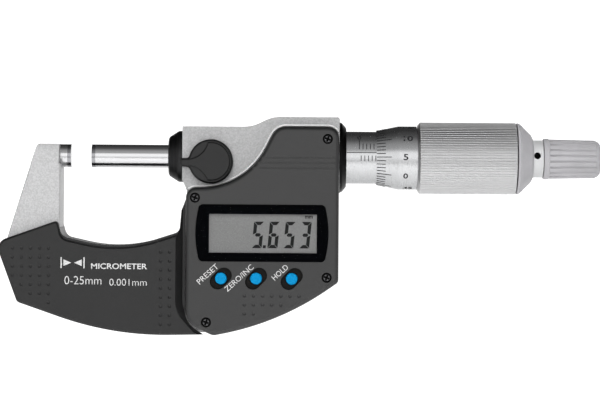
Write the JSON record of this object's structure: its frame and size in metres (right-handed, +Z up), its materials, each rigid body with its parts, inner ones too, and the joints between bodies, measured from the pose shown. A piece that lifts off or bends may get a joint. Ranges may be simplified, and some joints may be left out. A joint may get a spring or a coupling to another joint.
{
  "type": "outside micrometer",
  "caption": "Digital outside micrometer with C-frame, lock lever, turning thimble that drives a spindle, ratchet knob, display case and push buttons.",
  "frame": {"origin": "centre of the anvil's measuring face", "axes": "+X along the spindle from the anvil towards the ratchet, +Z up, the display faces -Y"},
  "size_m": [0.1651, 0.0237, 0.0598],
  "materials": {
    "frame_paint": "light grey speckled enamel, satin",
    "ground_steel": "finely ground, bright",
    "carbide": "lapped carbide, dark grey",
    "satin_chrome": "satin chrome plate",
    "bearing_bronze": "plain turned",
    "black_ring": "black anodised, satin",
    "black_rubber": "matt",
    "grip_plastic": "fine-grained dark grey",
    "case_plastic": "fine-grained dark grey",
    "window_glass": "clear, polished",
    "mask_print": "gloss black print",
    "lcd_grey": "grey polariser",
    "board_green": "solder mask",
    "chip_black": "moulded",
    "copper_pattern": "etched",
    "button_blue": "semi-gloss",
    "black_screw": "black oxide",
    "cell_steel": "nickel plated",
    "light_plastic": "light grey, fine-grained",
    "spring_steel": "drawn wire"
  },
  "bodies": {
    "frame": {"frame": "frame_paint", "anvil": "ground_steel", "anvil_tip": "carbide", "spindle_bush": "bearing_bronze", "seal_ring": "black_ring", "wiper_seal": "black_rubber", "inner_barrel": "ground_steel", "adjusting_nut": "ground_steel", "scale_sleeve": "satin_chrome", "rear_collar": "black_ring", "collar_o_ring": "black_rubber", "front_grip_cover": "grip_plastic", "rear_grip_cover": "grip_plastic", "display_housing": "case_plastic", "housing_gasket": "black_rubber", "rear_housing": "case_plastic", "display_window": "window_glass", "display_mask": "mask_print", "lcd_panel": "lcd_grey", "lcd_strips": "black_rubber", "circuit_board": "board_green", "circuit_chips": "chip_black", "encoder_stator": "copper_pattern", "keypad_mat": "black_rubber", "front_screws": "black_screw", "rear_screws": "black_screw", "battery": "cell_steel", "battery_contacts": "spring_steel", "lock_washer": "black_rubber", "lock_pad": "bearing_bronze"},
    "encoder_rotor": {"encoder_rotor": "copper_pattern", "rotor_hub": "ground_steel", "rotor_key": "ground_steel"},
    "spindle": {"spindle": "ground_steel", "spindle_tip": "carbide", "thimble": "satin_chrome", "thimble_grip": "satin_chrome", "end_cap": "light_plastic", "ratchet_neck": "satin_chrome", "ratchet_wheel": "ground_steel", "ratchet_screw": "ground_steel"},
    "ratchet": {"ratchet_knob": "light_plastic", "click_wheel": "ground_steel", "ratchet_spring": "spring_steel"},
    "lock_lever": {"lock_lever": "grip_plastic", "lock_screw": "ground_steel"},
    "left_button": {"left_button": "button_blue"},
    "middle_button": {"middle_button": "button_blue"},
    "right_button": {"right_button": "button_blue"},
    "battery_cap": {"battery_cap": "case_plastic", "battery_cap_seal": "black_rubber"}
  },
  "joints": [
    {"name": "thimble_turn", "type": "hinge", "parent": "frame", "child": "encoder_rotor", "pos_m": [0.0645, 0, 0], "axis": [1, 0, 0], "range_deg": [-4070.2, 13929.9]},
    {"name": "spindle_travel", "type": "slide", "parent": "encoder_rotor", "child": "spindle", "axis": [1, 0, 0], "range_m": [-0.00565, 0.01935]},
    {"name": "ratchet_turn", "type": "hinge", "parent": "spindle", "child": "ratchet", "pos_m": [0.138, 0, 0], "axis": [1, 0, 0], "continuous": true},
    {"name": "lock_lever_turn", "type": "hinge", "parent": "frame", "child": "lock_lever", "pos_m": [0.03875, -0.01, -0.00146], "axis": [0, 1, 0], "range_deg": [0, 55]},
    {"name": "battery_cap_turn", "type": "hinge", "parent": "frame", "child": "battery_cap", "pos_m": [0.0535, 0.0098, -0.031], "axis": [0, 1, 0], "range_deg": [0, 60]},
    {"name": "left_button_press", "type": "slide", "parent": "frame", "child": "left_button", "axis": [0, 1, 0], "range_m": [0, 0.0005], "stiffness_N_per_m": 600, "springref_m": -0.0005},
    {"name": "middle_button_press", "type": "slide", "parent": "frame", "child": "middle_button", "axis": [0, 1, 0], "range_m": [0, 0.0005], "stiffness_N_per_m": 600, "springref_m": -0.0005},
    {"name": "right_button_press", "type": "slide", "parent": "frame", "child": "right_button", "axis": [0, 1, 0], "range_m": [0, 0.0005], "stiffness_N_per_m": 600, "springref_m": -0.0005}
  ],
  "couplings": [
    {"joint": "thimble_turn", "follows": "spindle_travel", "rad_per_m": 12566}
  ]
}
